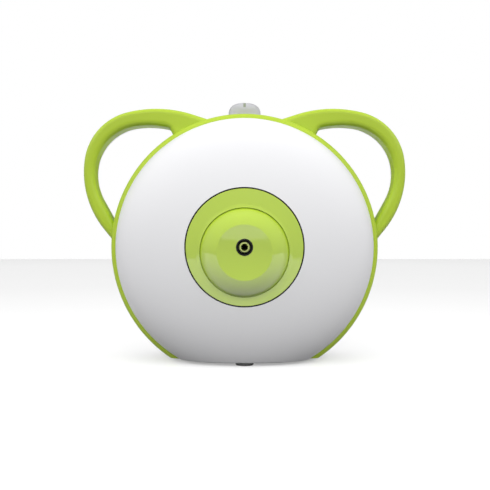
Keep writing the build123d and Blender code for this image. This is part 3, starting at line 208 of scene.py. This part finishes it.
DUST_SCALE = 60
DUST_SHOWS = 0.35
DUST_TONE = 1.8
RUBBER_POLISH_SCALE = 300
RUBBER_SKIN_SCALE = 1800
RUBBER_RELIEF = 0.25
RUBBER_DEPTH = 0.0001

GRAIN_SCALE = 900
GRAIN_TONES = (0.85, 1.08)
GRAIN_RELIEF = 0.12
GRAIN_DEPTH = 0.00005

FIBRE_SCALE = 1400
FIBRE_TONES = (0.7, 1.15)
FIBRE_RELIEF = 0.6
FIBRE_DEPTH = 0.0004


def linear(red, green, blue):
    """A linear colour from sRGB values of 0 to 255."""
    values = [channel / 255 for channel in (red, green, blue)]
    return [v / 12.92 if v <= 0.04045 else ((v + 0.055) / 1.055) ** 2.4 for v in values] + [1]


def shade(colour, amount):
    """A colour made lighter or darker by a factor."""
    return [min(1, channel * amount) for channel in colour[:3]] + [1]


def moulded_plastic(name, colour, gloss, grain=0.02, tone=0.03, shine=0.5):
    """Injection-moulded plastic: slight flow tones, polish that varies with handling, a fine skin."""
    made = Look(name)
    flow = made.noise(FLOW_SCALE, detail=4)
    toned = made.mixed(flow, shade(colour, 1 - tone), shade(colour, 1 + tone))
    specks = made.noise(SPECK_SCALE, detail=1)
    speckled = made.between(specks, 0, SPECK_SHOWS, SPECKS_FROM, SPECKS_FULL)
    made.tune(Base_Color=made.mixed(speckled, toned, shade(colour, SPECK_TONE)))
    wiped = made.noise(1, detail=5, roughness=0.6, place=made.stretched(WIPED_SCALES))
    made.tune(Roughness=made.between(wiped, gloss, gloss + WIPED_DULLER))
    made.tune(IOR=1.5, Specular_IOR_Level=shine)
    made.bump(made.noise(SKIN_SCALE, detail=2), grain, SKIN_DEPTH)
    made.bump(specks, grain * SPECK_RELIEF, SPECK_DEPTH)
    return made


def glossy_green(name, colour, gloss, shine):
    """The green plastic: coloured through, so that a little light spreads under its skin."""
    made = moulded_plastic(name, colour, gloss, grain=0.006, shine=shine)
    radius = (0.8, 1.0, 0.15)
    return made.tune(Subsurface_Weight=0.05, Subsurface_Scale=LIGHT_SPREAD, Subsurface_Radius=radius)


def rubber(name, colour, rough=0.62, shine=0.5):
    """Moulded rubber, matt, with a fine mottled skin and a little dust."""
    made = Look(name)
    dust = made.noise(DUST_SCALE, detail=6, roughness=0.7)
    dusty = made.between(dust, 0, DUST_SHOWS)
    made.tune(Base_Color=made.mixed(dusty, colour, shade(colour, DUST_TONE)))
    polish = made.noise(RUBBER_POLISH_SCALE)
    made.tune(Roughness=made.between(polish, rough - 0.08, rough + 0.12), Specular_IOR_Level=shine)
    made.bump(made.noise(RUBBER_SKIN_SCALE, detail=2), RUBBER_RELIEF, RUBBER_DEPTH)
    return made


def metal(name, colour, rough, along=(1, 1, 1)):
    """Metal with fine lines or, where along is even, a plain grain."""
    made = Look(name)
    scales = [GRAIN_SCALE * a for a in along]
    lines = made.noise(1, detail=4, roughness=0.6, place=made.stretched(scales))
    made.tune(Metallic=1.0, Base_Color=made.mixed(lines, *[shade(colour, tone) for tone in GRAIN_TONES]))
    made.tune(Roughness=made.between(lines, rough - 0.06, rough + 0.1))
    made.bump(lines, GRAIN_RELIEF, GRAIN_DEPTH)
    return made


def fabric(name, colour):
    """Felt or fleece: short fibres in all directions."""
    made = Look(name)
    fibres = made.noise(FIBRE_SCALE, detail=6, roughness=0.8)
    made.tune(Base_Color=made.mixed(fibres, *[shade(colour, tone) for tone in FIBRE_TONES]))
    made.tune(Roughness=0.95, Sheen_Weight=0.4)
    made.bump(fibres, FIBRE_RELIEF, FIBRE_DEPTH)
    return made


WHITE = linear(239, 239, 241)
GREEN = linear(181, 208, 58)
BRIGHT_GREEN = shade(GREEN, 1.04)


def make_materials():
    """One procedural material for each of the record's slots, by the slot's name."""
    looks = (
        moulded_plastic("white_shell", WHITE, 0.3, grain=0.01, tone=0.008, shine=0.3),
        glossy_green("green_frame", GREEN, 0.28, 0.3),
        glossy_green("green_panel", BRIGHT_GREEN, 0.03, 1.0),
        glossy_green("green_dome", BRIGHT_GREEN, 0.03, 1.0),
        glossy_green("green_port", linear(190, 204, 118), 0.25, 0.5),
        moulded_plastic("knob_grey", linear(190, 190, 194), 0.3, shine=0.3),
        moulded_plastic("knob_mark", linear(142, 150, 128), 0.5),
        moulded_plastic("white_plastic", linear(228, 228, 224), 0.45, grain=0.08),
        moulded_plastic("black_plastic", linear(28, 28, 30), 0.42, grain=0.15, tone=0.1),
        moulded_plastic("clear_plastic", linear(225, 235, 240), 0.08).tune(Transmission_Weight=0.85),
        moulded_plastic("board", linear(24, 96, 56), 0.3, grain=0.1, tone=0.12),
        moulded_plastic("board_yellow", linear(214, 178, 70), 0.4, grain=0.1),
        moulded_plastic("wire_insulation", linear(56, 56, 60), 0.45, grain=0.1),
        rubber("black_rubber", linear(19, 20, 16), shine=0.2),
        rubber("grey_rubber", linear(66, 66, 66)),
        rubber("silicone", linear(214, 214, 205), 0.4).tune(
            Subsurface_Weight=0.3,
            Subsurface_Scale=LIGHT_SPREAD,
        ),
        fabric("felt", linear(206, 202, 188)),
        metal("zinc_steel", linear(196, 200, 206), 0.32),
        metal("polished_steel", linear(190, 192, 196), 0.18, (0.2, 1, 1)),
        metal("laminated_steel", linear(126, 126, 130), 0.4, (2, 0.2, 0.2)),
        metal("dark_metal", linear(62, 66, 76), 0.38),
        metal("cast_aluminium", linear(186, 188, 190), 0.5, (0.5, 0.5, 0.5)),
        metal("ferrite", linear(52, 52, 56), 0.6),
        metal("copper", linear(196, 118, 70), 0.3, (3, 0.3, 0.3)),
        metal("nickel_pins", linear(206, 196, 160), 0.2, (1, 0.2, 1)),
    )
    return {made.name: made.material for made in looks}


def dress_cad_nodes(materials):
    """Gives every CAD node the material of its slot in the record."""
    for row in frame["record"]["subparts"]:
        slots = NODES[row["node"]].data.materials
        slots.clear()
        slots.append(materials[row["material_slot"]])


# ---- blank rating plate, in its recess in the back ----

PLATE_WIDTH = 0.0534
PLATE_HEIGHT = 0.0254
PLATE_CORNER = 0.0017
PLATE_THICK = 0.0004
PLATE_EDGE = 0.00012
RECESS_DEPTH = 0.0005
RECESS_ABOVE_AXIS = 0.048
CORNER_STEPS = 6


def plate_outline():
    """The plate's outline, corner by corner, as (x, z) about its middle."""
    reach_x = PLATE_WIDTH / 2 - PLATE_CORNER
    reach_z = PLATE_HEIGHT / 2 - PLATE_CORNER
    for quarter, (side_x, side_z) in enumerate(((1, 1), (-1, 1), (-1, -1), (1, -1))):
        for step in range(CORNER_STEPS + 1):
            turn = math.radians(90 * (quarter + step / CORNER_STEPS))
            yield (
                side_x * reach_x + PLATE_CORNER * math.cos(turn),
                side_z * reach_z + PLATE_CORNER * math.sin(turn),
            )


def make_rating_plate(material):
    """A blank metal plate with round corners and a broken edge, which shows no text."""
    seat_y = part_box("rear_shell")[1].y - RECESS_DEPTH
    middle_z = AXIS_Z + RECESS_ABOVE_AXIS
    made = bmesh.new()
    back = made.faces.new([made.verts.new((x, seat_y, middle_z + z)) for x, z in plate_outline()])
    grown = bmesh.ops.extrude_face_region(made, geom=[back])["geom"]
    raised = [part for part in grown if isinstance(part, bmesh.types.BMVert)]
    bmesh.ops.translate(made, verts=raised, vec=(0, PLATE_THICK, 0))
    rim = [edge for edge in made.edges if all(vert in raised for vert in edge.verts)]
    bmesh.ops.bevel(made, geom=rim, offset=PLATE_EDGE, segments=2, affect="EDGES")
    bmesh.ops.recalc_face_normals(made, faces=made.faces)
    mesh = bpy.data.meshes.new("rating_plate")
    made.to_mesh(mesh)
    made.free()
    mesh.materials.append(material)
    plate = bpy.data.objects.new("rating_plate", mesh)
    bpy.context.scene.collection.objects.link(plate)
    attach(plate, "housing")


# ---- floor ----

FLOOR_TO_FRONT = 0.95
FLOOR_TO_SIDES = 4.0
FLOOR_TO_BACK = 4.0
FLOOR_WHITES = (linear(243, 243, 243), linear(247, 247, 247))  # what the camera and reflections see
FLOOR_DARK = linear(36, 36, 36)  # what lights the unit from below
FLOOR_TONE_SCALE = 3
FLOOR_SEEN = 0.35  # glow that whitens the sheet in view
FLOOR_MIRRORED = 0.8  # glow in reflections, where the sheet lies in front of the unit: painted light that only reflections see
FLOOR_FADE = 0.08  # from the unit's front, the distance over which that glow fades out: painted shade under the unit, as reflections see it


def make_floor():
    """A sheet that is nearly white in view and in reflections, with painted shade in its reflections under
    the unit, but lights the unit little from below.
    """
    look = Look("floor_look")
    path = look.add("ShaderNodeLightPath").outputs
    seen = look.reckoned("MAXIMUM", path["Is Camera Ray"], path["Is Glossy Ray"])
    white = look.mixed(look.noise(FLOOR_TONE_SCALE, detail=5), *FLOOR_WHITES)
    look.tune(Base_Color=look.mixed(seen, FLOOR_DARK, white), Roughness=0.14, Specular_IOR_Level=0.25)
    glow = look.between(path["Is Camera Ray"], 0, FLOOR_SEEN, 0, 1)
    # painted light in reflections of the sheet in front, fading to painted shade under the unit
    depth = look.split(look.place)["Y"]
    in_front = look.between(depth, FLOOR_MIRRORED, 0, CAD_BOX[0].y, CAD_BOX[0].y + FLOOR_FADE)
    mirrored = look.reckoned("MULTIPLY", path["Is Glossy Ray"], in_front)
    look.tune(Emission_Color=(1, 1, 1, 1), Emission_Strength=look.reckoned("MAXIMUM", glow, mirrored))
    corners = (
        (-FLOOR_TO_SIDES, -FLOOR_TO_FRONT, 0),
        (FLOOR_TO_SIDES, -FLOOR_TO_FRONT, 0),
        (FLOOR_TO_SIDES, FLOOR_TO_BACK, 0),
        (-FLOOR_TO_SIDES, FLOOR_TO_BACK, 0),
    )
    mesh = bpy.data.meshes.new("floor")
    mesh.from_pydata(corners, [], [range(4)])
    mesh.materials.append(look.material)
    floor = bpy.data.objects.new("floor", mesh)
    bpy.context.scene.collection.objects.link(floor)


# ---- light ----
# In the world, a direction's Z is its height, 0 at the horizon, and its Y is negative in front of the unit.

RING = ((0.0, 0.0), (0.16, 0.2), (0.35, 1.0), (0.6, 1.0), (0.82, 0.35), (1.0, 0.15))  # height, level
RING_IN_FRONT = 2.66
RING_BEHIND = 1.33
RING_FADE = (-0.3, 0.7)  # from where to where, in Y, the one becomes the other
MIRRORED_IN_FRONT = 0.85
MIRRORED_BEHIND = 0.12
MIRRORED_FADE = (0.0, 0.6)
PLAIN_WHITE = (1, 1, 1, 1)

LIGHT_PLACE = (0, -0.1, 1.3)
LIGHT_TARGET = (0, 0, 0.1)
LIGHT_SIZE = 0.9
LIGHT_POWER = 1.2


def make_world():
    """A ring of soft light low in the sky, all round and dimmer behind the unit.

    Reflections show an even light instead, bright in front and dark behind. The camera sees white.
    """
    world = bpy.data.worlds.new("studio")
    world.use_nodes = True
    sky = Tree(world.node_tree)
    way = sky.split(sky.add("ShaderNodeTexCoord").outputs["Generated"])
    ramp = sky.add("ShaderNodeValToRGB")
    sky.feed(ramp.inputs[0], way["Z"])
    stops = ramp.color_ramp.elements
    while len(stops) < len(RING):
        stops.new(0.5)
    for stop, (height, level) in zip(stops, RING):
        stop.position = height
        stop.color = (level, level, level, 1)
    ring = sky.between(way["Y"], RING_IN_FRONT, RING_BEHIND, *RING_FADE)
    mirrored = sky.between(way["Y"], MIRRORED_IN_FRONT, MIRRORED_BEHIND, *MIRRORED_FADE)
    lights = []
    for colour, strength in ((ramp.outputs["Color"], ring), (PLAIN_WHITE, mirrored), (PLAIN_WHITE, 1)):
        node = sky.add("ShaderNodeBackground")
        sky.feed(node.inputs["Color"], colour)
        sky.feed(node.inputs["Strength"], strength)
        lights.append(node.outputs[0])
    path = sky.add("ShaderNodeLightPath").outputs
    shader = lights[0]
    for ray, light in zip(("Is Glossy Ray", "Is Camera Ray"), lights[1:]):
        mix = sky.add("ShaderNodeMixShader")
        for number, given in enumerate((path[ray], shader, light)):
            sky.feed(mix.inputs[number], given)
        shader = mix.outputs[0]
    sky.feed(sky.add("ShaderNodeOutputWorld").inputs["Surface"], shader)
    bpy.context.scene.world = world


def make_light():
    """A soft box overhead, which brightens what faces up. It isn't seen in reflections."""
    data = bpy.data.lights.new("overhead", "AREA")
    data.size = LIGHT_SIZE
    data.energy = LIGHT_POWER
    light = bpy.data.objects.new("overhead", data)
    light.location = LIGHT_PLACE
    facing = Vector(LIGHT_TARGET) - Vector(LIGHT_PLACE)
    light.rotation_euler = facing.to_track_quat("-Z", "Y").to_euler()
    light.visible_glossy = False
    bpy.context.scene.collection.objects.link(light)


make_camera()
materials = make_materials()
dress_cad_nodes(materials)
make_rating_plate(materials["cast_aluminium"])
make_floor()
make_world()
make_light()
bpy.context.scene.view_settings.view_transform = "Standard"
